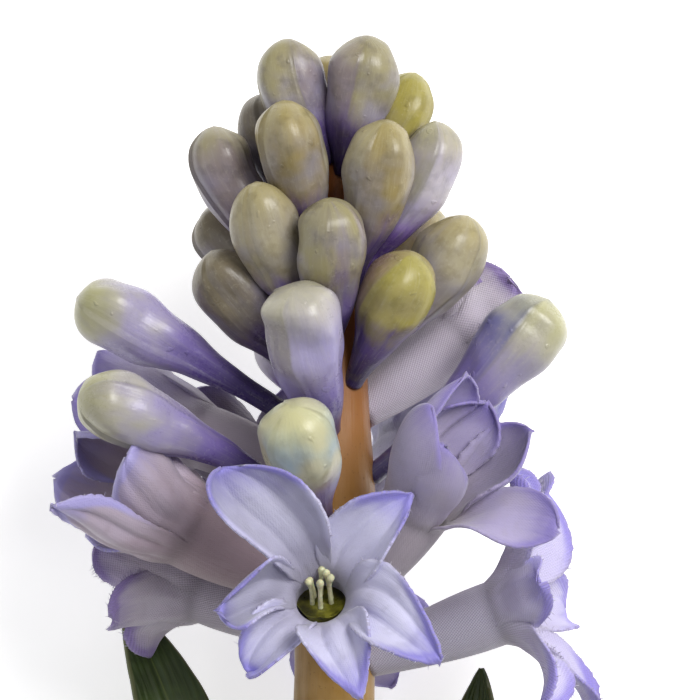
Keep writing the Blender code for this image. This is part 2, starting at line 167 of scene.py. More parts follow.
FLORETS = {
    "floret_front": Floret(6, (-1.8, 18.4, 15.2), -40, (
        Lobe(80, 17.2, 6.2, sway=-8, cup=56, point=0.8, peak=0.4, fray=0.35, dusk=0.1),
        Lobe(76, 20.5, 7.6, sway=29, curl=-4, lift=0.9, cup=60, twist=10, point=0.1, peak=0.66,
             dusk=0.42),
        Lobe(88, 14.4, 6.4, sway=44, curl=-70, cup=76, point=0.0, peak=0.64, dusk=0.55),
        Lobe(104, 12.8, 4.4, sway=2, curl=36, lift=-0.4, cup=60, point=0.0, fray=0.2, dusk=0.2),
        Lobe(90, 17.6, 5.6, sway=2, curl=10, lift=0.4, cup=50, point=0.8, peak=0.4),
        Lobe(86, 21.8, 6.3, sway=-35, curl=18, lift=0.9, cup=26, point=0.8, peak=0.46,
             fray=0.3),
    ), "front", nod=24, ridge=1.0, bore=3.7),
    "floret_left": Floret(14, (-20.6, 5.4, 25.2), -25, (
        Lobe(-6, 14.5, 4.6, sway=10, curl=-10, cup=50, point=0.4, fray=0.2),
        Lobe(-8, 20, 7.0, curl=-24, lift=0.6, cup=70, point=0.0, peak=0.62, fray=0.2, dusk=0.4),
        Lobe(14, 19, 7.4, sway=6, curl=-24, cup=64, point=0.0, peak=0.6, dusk=0.15),
        Lobe(12, 11.5, 6.0, curl=-10, lift=0.6, point=0.0, fray=0.4, dusk=0.3),
        Lobe(19, 23.5, 5.6, sway=20, curl=-6, cup=58, point=0.6, peak=0.5, fray=0.25),
        Lobe(10, 14.5, 7.4, sway=16, curl=-8, lift=0.5, cup=64, point=0.0, peak=0.68, fray=0.3,
             dusk=0.25),
    ), "rose", ridge=-0.9, bore=6.0),
    "floret_right": Floret(11, (11.6, 12.5, 28.0), 15, (
        Lobe(8, 19, 5.8, sway=-20, curl=-30, lift=0.6, cup=60, point=0.2, peak=0.6),
        Lobe(18, 17.5, 7.9, sway=-8, curl=-60, cup=70, point=0.0, peak=0.6, dusk=0.3),
        Lobe(4, 14.5, 6.4, sway=-14, curl=-50, lift=0.6, cup=72, point=0.0, peak=0.6, dusk=0.3),
        Lobe(58, 19, 5.0, sway=6, curl=6, lift=0.6, cup=30, twist=60, point=0.0, peak=0.6),
        Lobe(32, 17.5, 6.0, sway=6, curl=-40, cup=60, point=0.0, peak=0.64, dusk=0.4),
        Lobe(26, 15, 5.8, sway=-6, curl=-20, lift=0.6, cup=52, point=0.1, peak=0.62),
    ), "violet", ridge=0.1, bore=5.0),
    "floret_low_right": Floret(4, (23.0, 3.0, 12.5), 20, (
        Lobe(74, 18, 6.0, curl=20, lift=0.6, cup=56, point=0.0, peak=0.6, fray=0.3),
        Lobe(48, 12, 5.4, curl=20, cup=52, point=0.2, fray=0.3),
        Lobe(112, 17, 4.4, curl=14, lift=0.6, cup=52, point=0.0, fray=0.2),
        Lobe(80, 18, 4.6, curl=36, cup=54, point=0.1, fray=0.4),
        Lobe(72, 15, 4.9, curl=24, lift=0.6, point=0.2, fray=0.35),
        Lobe(66, 20, 7.2, curl=20, cup=52, point=0.0, peak=0.6, fray=0.3),
    ), "satin", ridge=0.5),
    "floret_high_right": Floret(38, (16.5, -9.5, 51.0), 0, (
        Lobe(24, 8.5, 5.8, curl=30, point=0.0, peak=0.66, fray=0.3),
        Lobe(20, 10.5, 6.4, curl=28, lift=0.6, point=0.0, peak=0.66, fray=0.4),
        Lobe(26, 13, 6.2, curl=34, point=0.0, peak=0.7, fray=0.4),
        Lobe(34, 11, 5.4, curl=20, lift=0.6, point=0.0),
        Lobe(44, 11, 5.2, curl=20, point=0.1),
        Lobe(36, 12, 5.2, curl=20, lift=0.6, point=0.1),
    ), "silver", ridge=0.5),
    "floret_high_left": Floret(31, (-18.6, -8.0, 37.4), 30, (
        Lobe(8, 15, 5.8, curl=0, point=0.0, peak=0.6),
        Lobe(26, 14, 5.6, lift=0.6, point=0.1),
        Lobe(46, 12, 5.4, curl=20, point=0.2),
        Lobe(34, 13, 5.4, curl=24, lift=0.6, point=0.1),
        Lobe(20, 18, 6.0, sway=2, point=0.0, peak=0.6, fray=0.2),
        Lobe(5, 18, 5.8, curl=6, lift=0.6, point=0.0, peak=0.6, fray=0.15),
    ), "violet"),
    "floret_low_left": Floret(8, (-18.0, -7.5, 15.0), 0, (
        Lobe(52, 12, 5.2, point=0.1),
        Lobe(60, 12, 5.4, curl=16, lift=0.6, point=0.2),
        Lobe(64, 12, 5.2, curl=20, point=0.1, fray=0.5),
        Lobe(58, 10, 5.6, curl=44, lift=0.6, point=0.0, peak=0.6, fray=0.8),
        Lobe(54, 13, 5.8, sway=4, curl=34, point=0.0, peak=0.64, fray=0.9),
        Lobe(44, 16.5, 6.0, sway=-16, lift=0.6, point=0.0, peak=0.64, fray=0.9),
    ), "silver", ridge=0.4),
    # its cloth is a dark copy standing for painted shade inside the floret
    "floret_back_left": Floret(20, (-6.9, -15.5, 27.0), -50, (
        Lobe(92, 20, 6.6, curl=16, point=0.2, peak=0.6, fray=0.12), *CUPPED[1:],
    ), "dusty", ridge=0.7),
    "floret_back_right": Floret(25, (10.2, -17.7, 34.0), 0, CUPPED, "front", ridge=0.7),
    "floret_back": Floret(4, (1.0, -15.0, 8.8), 30, (Lobe(62, 11.4, 4.8, curl=12),) * 6, "violet"),
}
# a tube's radius at its foot, a lobe's lean at the mouth in degrees, and half a lobe's sector
TUBE_FOOT = 1.7
MOUTH_FLARE = 22.0
SECTOR = math.radians(30.0)
# the stamens' cup: how far its base is behind the mouth, its depth and its gap to the tube
CUP_SETBACK, CUP_DEPTH, CUP_GAP = 3.6, 2.2, 0.15

# name: (foot, middle, tip, half width, turn of the inner face in degrees)
LEAVES = {
    "leaf_left": ((-7.4, -1.0, -108.0), (-15.0, -6.0, -34.0), (-30.6, -17.4, 12.4), 10.2, 20.0),
    "leaf_right": ((7.4, -1.5, -106.0), (15.5, -6.0, -50.0), (21.4, -14.0, 3.6), 11.5, -20.0),
    "leaf_front": ((1.5, 7.4, -106.0), (4.0, 12.5, -62.0), (10.0, 19.0, -20.0), 7.5, 180.0),
}


def standing(point):
    """A table's (across, front, height) as a point of the standing flower, in millimetres."""
    across, front, height = point
    return Vector((across, -front, height))


def placed(point):
    """A table's point on the lying flower, in metres."""
    return LYING @ (standing(point) * MM)


def spoke(angle):
    return Vector((math.cos(angle), math.sin(angle), 0.0))


def shade(colour, amount):
    return tuple(amount * part for part in colour)


def smooth(value):
    value = max(0.0, min(1.0, value))
    return value * value * (3.0 - 2.0 * value)


class Wire:
    """An output of a finish's nodes, with the arithmetic that its formulas use."""

    def __init__(self, finish, socket):
        self.finish = finish
        self.socket = socket

    def _maths(self, operation, *values):
        return self.finish.node(
            "ShaderNodeMath", {"operation": operation}, dict(enumerate(values))
        )

    def __add__(self, other):
        return self._maths("ADD", self, other)

    __radd__ = __add__

    def __sub__(self, other):
        return self._maths("SUBTRACT", self, other)

    def __rsub__(self, other):
        return self._maths("SUBTRACT", other, self)

    def __mul__(self, other):
        return self._maths("MULTIPLY", self, other)

    __rmul__ = __mul__

    def __abs__(self):
        return self._maths("ABSOLUTE", self)

    def sine(self):
        return self._maths("SINE", self)

    def ramp(self, low, high):
        """0 below low, 1 above high, and an eased run between."""
        return self.finish.node(
            "ShaderNodeMapRange", {"interpolation_type": "SMOOTHSTEP"},
            {"Value": self, "From Min": low, "From Max": high},
        )


class Finish:
    """One material: a Principled shader and the nodes that vary it over a surface."""

    def __init__(self, name, **constants):
        self.material = bpy.data.materials.new(name)
        self.material.use_nodes = True
        self.tree = self.material.node_tree
        self.shader = self.tree.nodes["Principled BSDF"]
        for socket, value in constants.items():
            self.shader.inputs[socket.replace("_", " ")].default_value = value

    def node(self, kind, settings=None, sockets=None, output=0):
        made = self.tree.nodes.new(kind)
        for key, value in (settings or {}).items():
            setattr(made, key, value)
        for key, value in (sockets or {}).items():
            if isinstance(value, Wire):
                self.tree.links.new(value.socket, made.inputs[key])
            else:
                made.inputs[key].default_value = value
        return Wire(self, made.outputs[output])

    def set(self, socket, wire):
        self.tree.links.new(wire.socket, self.shader.inputs[socket])

    def mix(self, share, first, second, blend="MIX"):
        """A colour between two, where a plain tuple is a colour too."""
        first, second = (
            value if isinstance(value, Wire) else (*value, 1.0) for value in (first, second)
        )
        return self.node(
            "ShaderNodeMix", {"data_type": "RGBA", "blend_type": blend},
            {0: share, 6: first, 7: second}, output=2,
        )

    def noise(self, scale, detail=3.0, vector=None, roughness=0.5, distortion=0.0):
        sockets = {
            "Scale": scale, "Detail": detail, "Roughness": roughness, "Distortion": distortion,
        }
        sockets["Vector"] = vector or self.node("ShaderNodeTexCoord", output=3)
        return self.node("ShaderNodeTexNoise", None, sockets)

    def parts(self, wire):
        split = self.node("ShaderNodeSeparateXYZ", None, {0: wire})
        outputs = split.socket.node.outputs
        return [Wire(self, outputs[axis]) for axis in range(3)]

    def layer(self, name):
        """The three parts of a vertex layer."""
        return self.parts(self.node("ShaderNodeAttribute", {"attribute_name": name}, output=1))

    def chart(self, name):
        """The two parts of a UV map."""
        return self.parts(self.node("ShaderNodeUVMap", {"uv_map": name}))[:2]

    def join(self, *values):
        return self.node("ShaderNodeCombineXYZ", None, dict(enumerate(values)))

    def bump(self, height, distance, strength=1.0):
        self.set("Normal", self.node(
            "ShaderNodeBump", None,
            {"Height": height, "Distance": distance, "Strength": strength},
        ))


def bud_finish(name, tip, head, other, blush, foot, gloss=0.34, reach=(0.3, 0.62), patchy=1.0):
    """Wax over painted sepals: soft clouds of colour that run down into a violet foot, with painted
    shade that darkens each bud towards its foot, where the buds crowd.

    head and other are the two colours that neighbouring sepals are painted in, and patchy how
    uneven the paint is."""
    made = Finish(
        f"bud_{name}", IOR=1.46, Subsurface_Weight=0.12, Subsurface_Scale=0.0012,
        Coat_Roughness=0.28, Coat_Weight=0.14, Subsurface_Radius=(1.0, 0.85, 0.8),
    )
    turn_x, turn_y, along = made.layer("skin")
    drift, seam, sepal = made.layer("sepals")
    lengthwise = made.join(turn_x * 1.3 + drift, turn_y * 1.3, along * 1.3 + drift)
    streaks = made.noise(1.9, 3.0, lengthwise, 0.55, 0.3)
    fine = made.noise(1.0, 4.0, made.join(turn_x * 9 + drift, turn_y * 9, along * 7), 0.6)
    clouds = made.noise(170.0, 2.0, roughness=0.45)
    stains = made.noise(420.0, 3.0, roughness=0.55)
    mottle = made.noise(1700.0, 2.0, roughness=0.65)
    drops = made.noise(620.0, 1.0)
    colour = made.mix((sepal + (streaks - 0.5) * 0.8).ramp(0.35, 0.65), head, other)
    colour = made.mix(clouds.ramp(0.36, 0.74) * 0.85, colour, blush)
    wander = along + (streaks - 0.5) * (0.3 * patchy) + (clouds - 0.5) * (0.45 * patchy)
    colour = made.mix(wander.ramp(0.74, 1.04) * 0.8, colour, tip)
    colour = made.mix((1 - wander.ramp(*reach)) * 0.9, colour, foot)
    # painted shade: the paint darkens to a deep violet towards the foot, standing in for the shade
    # between crowded buds
    colour = made.mix(1 - wander.ramp(0.05, 0.74 * reach[1]), colour, shade(foot, 0.3))
    colour = made.mix(stains.ramp(0.48, 0.7) * (0.34 * patchy), colour, shade(head, 0.45))
    colour = made.mix(fine.ramp(0.5, 0.72) * 0.1, colour, (0.6, 0.57, 0.45))
    colour = made.mix(seam * 0.4, colour, shade(head, 0.35))
    colour = made.mix(mottle.ramp(0.58, 0.72) * 0.1, colour, (0.66, 0.62, 0.48))
    made.set("Base Color", colour)
    made.set("Roughness", gloss + (clouds - 0.5) * 0.25 + (mottle - 0.5) * 0.14)
    made.bump(
        clouds * 0.6 + stains * 0.35 + fine * 0.25 + mottle * 0.08 + drops.ramp(0.7, 0.78) * 0.3,
        0.0005, 0.55,
    )
    return made.material


THREAD_PITCH = 0.36


def petal_finish(name, throat, blade, rim, weave, border):
    """Stiffened cloth, airbrushed from the throat's colour to violet at the tip and rim, with
    painted shade in the mouth's crease and on the lobes that the dusk layer marks, and a faint
    painted highlight along the veins.

    weave is how much the threads show, and border how strong the rim's colour is."""
    made = Finish(
        f"petal_{name}", IOR=1.4, Sheen_Weight=0.3, Sheen_Roughness=0.45,
        Subsurface_Weight=0.1, Subsurface_Scale=0.001, Subsurface_Radius=(1.0, 0.9, 1.1),
    )
    across, along = made.chart("threads")
    from_rim, share = made.chart("edge")
    patches = made.noise(130.0, 2.0)
    stains = made.noise(420.0, 3.0)
    veins = made.noise(1.0, 4.0, made.join(across * 1.5, along * 0.14, patches * 2), 0.6)
    fibre = made.noise(1.0, 2.0, made.join(across * 9.0, along * 1.3, 0.0), 0.7)
    dusk = made.node("ShaderNodeAttribute", {"attribute_name": "dusk"}, output=2)
    pitch = math.tau / THREAD_PITCH
    warp = ((across + along * 0.62) * pitch).sine()
    weft = ((across * 0.62 - along) * pitch).sine()
    cloth = warp * 0.6 + weft * 0.4
    woven = (1.25 - share.ramp(0.9, 1.4) * 0.85) * weave
    tipped = share.ramp(1.45, 2.02) * 0.75
    outer = 0.25 + share.ramp(1.2, 1.8) * 0.75
    reach = (1 - from_rim.ramp(0.1, 1.9)) * border * outer + tipped
    reach = reach + (patches - 0.5) * 0.9 + (veins - 0.5) * 0.5
    colour = made.mix((1 - share.ramp(0.9, 1.5)) * 0.95, blade, throat)
    # painted shade in the crease where the lobes leave the tube
    painted_crease_shade = 1 - abs(share - 1.04).ramp(0.0, 0.12)
    colour = made.mix(painted_crease_shade * 0.4, colour, shade(throat, 0.45))
    colour = made.mix(patches.ramp(0.46, 0.7) * 0.4, colour, throat)
    colour = made.mix(stains.ramp(0.52, 0.75) * 0.2, colour, shade(throat, 0.72))
    colour = made.mix(reach.ramp(0.12, 1.0), colour, rim)
    # a faint painted highlight along the veins
    colour = made.mix(veins.ramp(0.55, 0.75) * 0.07, colour, (0.72, 0.7, 0.78))
    # painted shade: lobes marked in the dusk layer darken inside their rims, where they lie in
    # shade
    colour = made.mix(dusk * from_rim.ramp(0.3, 1.4), colour, shade(throat, 0.34))
    colour = made.mix(cloth.ramp(-0.7, 0.8) * woven, colour, shade(blade, 0.42))
    frayed = 1 - from_rim.ramp(0.0, 0.35)
    colour = made.mix(frayed * fibre.ramp(0.42, 0.6) * 0.45, colour, (0.3, 0.26, 0.36))
    made.set("Base Color", colour)
    made.set("Roughness", 0.46 + (veins - 0.5) * 0.2 + (fibre - 0.5) * 0.12)
    made.bump(cloth * (0.35 * weave + 0.06) + fibre * 0.35 + veins * 0.9, 0.00022, 0.75)
    return made.material


def sweep(work, centre_at, radius_at, sides, rings, skew=1.0, winding=0.0):
    """A closed round form: a sphere whose rings are moved onto a bent line.

    centre_at takes the share of the line from the tip, radius_at that share and the angle.
    winding turns the rings of vertices round the line, so that they can follow a seam."""
    skin = work.verts.layers.float_vector.get("skin") or work.verts.layers.float_vector.new("skin")
    shape = bmesh.ops.create_uvsphere(work, u_segments=sides, v_segments=rings, radius=1.0)
    cached = {}
    for vert in shape["verts"]:
        polar = math.acos(max(-1.0, min(1.0, vert.co.z))) / math.pi
        key = round(polar * rings * 2)
        if key not in cached:
            share = polar ** skew
            ahead, behind = (centre_at(min(1.0, max(0.0, share + step))) for step in (-0.01, 0.01))
            cached[key] = (share, centre_at(share), (ahead - behind).to_track_quat("Z", "Y"))
        share, centre, turn = cached[key]
        angle = math.atan2(vert.co.y, vert.co.x)
        pole = polar < 1e-4 or polar > 1 - 1e-4
        radius, lift = (0.0, 0.0) if pole and share > 0.5 else radius_at(share, angle)
        radius = 0.0 if pole else radius
        wound = angle + winding * share
        around = Vector((math.cos(wound), math.sin(wound), 0.0))
        vert.co = centre + turn @ (around * radius + Vector((0, 0, lift)))
        vert[skin] = Vector((math.cos(angle), math.sin(angle), 1.0 - share))
    return shape["verts"]


def finished(work, name, finishes, slot, *nodes, shell=False):
    """Turns a bmesh into a piece that rides on the flower and stands for its frame nodes.

    A shell's faces already look outwards, and its wall comes from a modifier."""
    if not shell:
        bmesh.ops.recalc_face_normals(work, faces=work.faces)
    mesh = bpy.data.meshes.new(name)
    work.to_mesh(mesh)
    work.free()
    mesh.shade_smooth()
    for finish in finishes:
        mesh.materials.append(finish)
    piece = bpy.data.objects.new(name, mesh)
    bpy.context.scene.collection.objects.link(piece)
    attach(piece, "root")
    if nodes:
        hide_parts(*nodes)
    return piece


def write_charts(work, marks):
    """Writes the "threads" and "edge" UV maps from four numbers for each vertex."""
    threads = work.loops.layers.uv.new("threads")
    edge = work.loops.layers.uv.new("edge")
    for face in work.faces:
        for loop in face.loops:
            mark = marks[loop.vert]
            loop[threads].uv = mark[:2]
            loop[edge].uv = mark[2:]


def thicken(piece, name, thickness, lining=0):
    """A wall on both sides of a sheet, whose back takes the finish that many slots on."""
    wall = piece.modifiers.new(name, "SOLIDIFY")
    wall.thickness = thickness
    wall.offset = 0.0
    wall.material_offset = wall.material_offset_rim = lining


class StemSettings(bpy.types.PropertyGroup):
    tan: FloatVectorProperty(
        name="Tan", description="Colour of the stem below the head", subtype="COLOR",
        default=(0.3, 0.16, 0.025), min=0.0, max=1.0,
    )
    brown: FloatVectorProperty(
        name="Brown", description="Colour of the stem among the buds", subtype="COLOR",
        default=(0.28, 0.09, 0.02), min=0.0, max=1.0,
    )
    collar: FloatProperty(
        name="Collar", description="Width of the collar at each stalk's foot", default=0.0011,
        unit="LENGTH",
    )


class BudSettings(bpy.types.PropertyGroup):
    sides: IntProperty(
        name="Sides", description="Faces round each bud", default=72, min=12, max=160,
    )
    seam: FloatProperty(
        name="Seam", description="Step where one sepal laps the next, as a share of the radius",
        default=0.09, subtype="FACTOR",
    )
    nib: FloatProperty(
        name="Nib", description="Height of the point at a bud's tip", default=0.0004,
        unit="LENGTH",
    )


class FloretSettings(bpy.types.PropertyGroup):
    thickness: FloatProperty(
        name="Thickness", description="Thickness of the stiffened cloth", default=0.00042,
        unit="LENGTH",
    )
    ridge: FloatProperty(
        name="Ridge", description="Depth of the channels along a petal", default=0.0006,
        unit="LENGTH",
    )
    fray: FloatProperty(
        name="Fray", description="How far loose threads stand out of a rim", default=0.00016,
        unit="LENGTH",
    )


class StamenSettings(bpy.types.PropertyGroup):
    cream: FloatVectorProperty(
        name="Cream", description="Colour of the stamens", subtype="COLOR",
        default=(0.66, 0.66, 0.4), min=0.0, max=1.0,
    )
    olive: FloatVectorProperty(
        name="Olive", description="Colour of the cup the stamens stand in", subtype="COLOR",
        default=(0.13, 0.125, 0.012), min=0.0, max=1.0,
    )


class LeafSettings(bpy.types.PropertyGroup):
    green: FloatVectorProperty(
        name="Green", description="Main colour of the leaves", subtype="COLOR",
        default=(0.028, 0.052, 0.007), min=0.0, max=1.0,
    )
    rib: FloatVectorProperty(
        name="Rib", description="Colour of the middle rib and veins", subtype="COLOR",
        default=(0.1, 0.14, 0.02), min=0.0, max=1.0,
    )
    thickness: FloatProperty(
        name="Thickness", description="Thickness of a leaf", default=0.0007, unit="LENGTH",
    )


class StageSettings(bpy.types.PropertyGroup):
    distance: FloatProperty(
        name="Distance", description="From the stem to the camera", default=0.75,
        unit="LENGTH",
    )
    field: FloatProperty(
        name="Field", description="Width of the view at the stem", default=0.1, unit="LENGTH",
    )
    brightness: FloatProperty(
        name="Brightness", description="Strength of the light from all round", default=0.35,
    )


def stem_radius(height):
    foot, shoulder, crown = STEM_RADII
    if height < STEM_SHOULDER:
        return foot + (shoulder - foot) * (height - STEM_FOOT) / (STEM_SHOULDER - STEM_FOOT)
    return shoulder + (crown - shoulder) * (height - STEM_SHOULDER) / (STEM_CROWN - STEM_SHOULDER)


def stalk_radius(height):
    return CROWN_STALK if height > CROWN_HEIGHT else BUD_STALK


class HYACINTH_OT_stem(bpy.types.Operator):
    """Adds the amber stem, with a collar where each stalk leaves it"""
    bl_idname = "hyacinth.stem"
    bl_label = "Stem"

    def finish(self, settings):
        made = Finish(
            "stem_amber", IOR=1.47, Subsurface_Weight=0.1, Subsurface_Scale=0.002,
            Subsurface_Radius=(1.0, 0.5, 0.2), Coat_Weight=0.1, Coat_Roughness=0.3,
        )
        turn_x, turn_y, along = made.layer("skin")
        grain = made.noise(3.0, 4.0, made.join(turn_x * 2.5, turn_y * 2.5, along * 5.0), 0.6, 0.5)
        hairs = made.noise(6.0, 3.0, made.join(turn_x * 4.0, turn_y * 4.0, along * 3.0), 0.7)
        specks = made.noise(1900.0, 2.0)
        clouds = made.noise(150.0, 3.0)
        tan, brown = tuple(settings.tan), tuple(settings.brown)
        colour = made.mix(grain.ramp(0.4, 0.75) * 0.5, tan, shade(tan, 0.66))
        warm = (along + (clouds - 0.5) * 0.2).ramp(0.58, 0.72)
        colour = made.mix(warm, colour, (0.34, 0.165, 0.035))
        colour = made.mix(clouds.ramp(0.42, 0.7) * 0.4, colour, (0.42, 0.27, 0.1))
        colour = made.mix((along + (clouds - 0.5) * 0.12).ramp(0.68, 0.88), colour, brown)
        colour = made.mix(hairs.ramp(0.62, 0.75) * 0.14, colour, (0.5, 0.36, 0.16))
        colour = made.mix(specks.ramp(0.66, 0.74) * 0.35, colour, shade(tan, 0.3))
        made.set("Base Color", colour)
        made.set("Roughness", 0.36 + (grain - 0.5) * 0.25 + (specks - 0.5) * 0.12)
        made.bump(grain * 0.6 + hairs * 0.5 + specks * 0.12, 0.0002, 0.5)
        return made.material

    def execute(self, context):
        settings = context.scene.hyacinth_stem
        work = bmesh.new()
        length = STEM_TIP - STEM_FOOT
        bevel = 0.6

        def centre_at(share):
            height = STEM_TIP - length * share
            sway = 0.35 * math.sin(height / 41.0)
            return placed((sway, 0.25 * math.sin(height / 33.0), height))

        def radius_at(share, angle):
            height = STEM_TIP - length * share
            radius = stem_radius(height) - 0.25
            end = min(height - STEM_FOOT, STEM_TIP - height)
            if end < bevel:
                radius -= bevel - math.sqrt(max(0.0, bevel ** 2 - (bevel - end) ** 2))
            bumps = noise.noise(Vector((math.cos(angle), math.sin(angle), height / 9.0)))
            return (radius + 0.18 * bumps) * MM, 0.0

        sweep(work, centre_at, radius_at, 72, 200)
        skin = work.verts.layers.float_vector.get("skin")
        for height, tip, *_ in (*BUDS.values(), *FLORETS.values()):
            foot, aim = placed((0, 0, height)), placed(tip)
            outwards = (aim - foot).normalized()
            rising = outwards.dot(LYING.to_3x3() @ Vector((0, 0, 1)))
            level = max(0.3, math.sqrt(1.0 - rising ** 2))
            brim = stalk_radius(height) * MM + 0.5 * settings.collar
            reach = (stem_radius(height) * MM - brim * abs(rising)) / level

            def collar_centre(share, foot=foot, outwards=outwards, reach=reach):
                return foot + outwards * (reach + (0.5 - 2.2 * share) * MM)

            def collar_radius(share, angle, brim=brim):
                swell = math.sin(math.pi * min(1.0, share * 1.3 + 0.12)) ** 0.5
                return brim * max(0.0, swell), 0.0

            for vert in sweep(work, collar_centre, collar_radius, 18, 10):
                share = (height - STEM_FOOT) / length
                vert[skin] = (*vert[skin].xy, min(0.99, share + 0.04))
        finished(work, "amber_stem", [self.finish(settings)], "stem", "stem")
        return {"FINISHED"}


class HYACINTH_OT_buds(bpy.types.Operator):
    """Adds the closed buds, each an egg of three lapped sepals on a tapering stalk"""
    bl_idname = "hyacinth.buds"
    bl_label = "Buds"

    def finishes(self):
        olive, violet = (0.3, 0.235, 0.095), (0.13, 0.08, 0.3)
        grey = (0.24, 0.195, 0.2)
        return {
            "olive": bud_finish("olive", (0.38, 0.32, 0.13), olive, (0.36, 0.32, 0.21),
                                (0.27, 0.25, 0.3), violet),
            "grey": bud_finish("grey", (0.31, 0.275, 0.13), grey, (0.32, 0.285, 0.15),
                               (0.26, 0.24, 0.36), violet),
            "yellow": bud_finish("yellow", (0.36, 0.32, 0.08), (0.38, 0.33, 0.075),
                                 (0.25, 0.17, 0.14), (0.33, 0.28, 0.14), violet, 0.34,
                                 (0.42, 0.66)),
            "lilac": bud_finish("lilac", (0.4, 0.37, 0.2), (0.5, 0.46, 0.5), (0.33, 0.31, 0.26),
                                (0.42, 0.37, 0.62), (0.2, 0.1, 0.45)),
            "cream": bud_finish("cream", (0.46, 0.44, 0.27), (0.46, 0.42, 0.6), (0.34, 0.31, 0.32),
                                (0.4, 0.36, 0.64), (0.24, 0.18, 0.5), 0.3, (0.3, 0.75), 0.4),
            "sky": bud_finish("sky", (0.58, 0.56, 0.28), (0.56, 0.54, 0.36), (0.55, 0.54, 0.5),
                              (0.34, 0.49, 0.62), (0.3, 0.23, 0.56), patchy=0.6),
            "dusk": bud_finish("dusk", (0.46, 0.45, 0.22), (0.42, 0.4, 0.3), (0.12, 0.13, 0.3),
                               (0.3, 0.28, 0.42), (0.22, 0.17, 0.45), 0.32, (0.5, 0.9), 0.5),
            "long": bud_finish("long", (0.4, 0.39, 0.14), (0.44, 0.41, 0.48), (0.38, 0.34, 0.54),
                               (0.48, 0.46, 0.4), (0.13, 0.08, 0.35), 0.3, (0.4, 0.84), 0.35),
            # a darker copy of the olive paint for the buds on the left, away from the key light:
            # painted shade
            "slate": bud_finish("slate", (0.24, 0.2, 0.11), (0.18, 0.15, 0.1),
                                (0.19, 0.17, 0.17), (0.19, 0.17, 0.24), (0.1, 0.06, 0.2)),
        }

    def bud(self, name, settings, finishes):
        height, tip, head, bow, finish, seams = BUDS[name]
        foot, end = placed((0, 0, height)), placed(tip)
        chord = end - foot
        upright = LYING.to_3x3() @ Vector((0, 0, 1))
        outwards = (chord - upright * chord.dot(upright)).normalized()
        aside = (outwards - chord * (outwards.dot(chord) / chord.length_squared)).normalized()
        length = chord.length / MM
        stalk = stalk_radius(height)
        taper = LONG_TAPER if "long" in name or name in FLUTED else BUD_TAPER
        level = max(0.25, outwards.dot(chord.normalized()))
        start = (stem_radius(height) - STALK_SINK) / length / level
        draw = random.Random(name)
        seed = Vector((height * 0.37, tip[0] * 0.71, tip[2] * 0.53))
        cap = HEAD_CAP * head
        blunt = BLUNT.get(name, USUAL_BLUNT)
        fullness = 1.35 if "long" in name else 0.55 if height > 42 else 0.9
        lean = aside * draw.uniform(-0.7, 0.7) + aside.cross(chord.normalized()) * 0.4

        def centre_at(share):
            along = 1.0 - share * (1.0 - start)
            point = foot + chord * along + aside * (bow * MM * 6.75 * along ** 2 * (1 - along))
            return point + lean * (MM * math.exp(-share * 9))

        def turn_at(angle):
            return (3 * (angle - math.radians(seams + 2.5)) / math.tau) % 3.0

        def body_at(from_tip, share):
            return smooth(from_tip / (0.13 * head)) * (1.0 - smooth((share - 0.5) / 0.35))

        def radius_at(share, angle):
            from_tip = length * share * (1.0 - start)
            if from_tip < cap:
                fill = 1.0 - (1.0 - from_tip / cap) ** blunt
                radius = head * max(0.0, fill) ** (1.0 / min(blunt, 2.4))
            else:
                run = min(1.0, (from_tip - cap) / taper)
                radius = stalk + (head - stalk) * (0.5 + 0.5 * math.cos(math.pi * run)) ** fullness
            body = body_at(from_tip, share)
            part = turn_at(angle) % 1.0
            lap = settings.seam * (part - 0.5) - 0.028 * math.cos(math.tau * part)
            lap += 0.03 * math.exp(-((1.0 - part) / 0.05) ** 2)
            lap *= body
            rib = 0.018 * math.cos(6 * angle + seed.x) * body
            at = Vector((math.cos(angle) * 0.9, math.sin(angle) * 0.9, from_tip / 5.5)) + seed
            dent = 0.19 * noise.noise(at) * smooth(from_tip / 2.0)
            nib = settings.nib * math.exp(-(radius / (0.3 * head)) ** 2) * (1 - smooth(share * 6))
            return radius * (1 + lap + rib + dent) * MM, nib

        work = bmesh.new()
        sweep(work, centre_at, radius_at, settings.sides, 72, 1.25, draw.uniform(-0.5, 0.5))
        sepals = work.verts.layers.float_vector.new("sepals")
        skin = work.verts.layers.float_vector.get("skin")
        tints = SEPALS.get(name) or [draw.random() for _ in range(3)]
        for vert in work.verts:
            x, y, along = vert[skin]
            turn = turn_at(math.atan2(y, x))
            part = turn % 1.0
            nearest = min(part, 1.0 - part) / 3.0 * math.tau
            seam = math.exp(-(nearest / 0.08) ** 2) * body_at(length * (1 - along), 1 - along)
            last, here, after = (tints[(int(turn) + step) % 3] for step in (-1, 0, 1))
            tint = here + (last - here) * 0.5 * (1 - smooth(part / 0.06))
            tint += (after - here) * 0.5 * (1 - smooth((1 - part) / 0.06))
            vert[sepals] = (seed.length % 7.0, seam, tint)
        finished(work, f"waxed_{name}", [finishes[finish]], "bud", name)

    def execute(self, context):
        finishes = self.finishes()
        for name in BUDS:
            self.bud(name, context.scene.hyacinth_buds, finishes)
        return {"FINISHED"}


def tube_radius(share, bore):
    return TUBE_FOOT + (bore - TUBE_FOOT) * math.sin(0.5 * math.pi * share) ** 1.3


def floret_matrix(name):
    """The floret's own frame, whose Z runs out along its tube and whose X leans up the stem,
    with the tube's length and how far from its foot it leaves the stem."""
    height, mouth = FLORETS[name][:2]
    foot = Vector((0.0, 0.0, height))
    aim = standing(mouth) - foot
    outwards = aim.normalized()
    up = (Vector((0, 0, 1)) - outwards * outwards.z).normalized()
    turn = Matrix((up, outwards.cross(up), outwards)).transposed().to_4x4()
    leaving = stem_radius(height) / outwards.xy.length
    return LYING @ Matrix.Scale(MM, 4) @ Matrix.Translation(foot) @ turn, aim.length, leaving


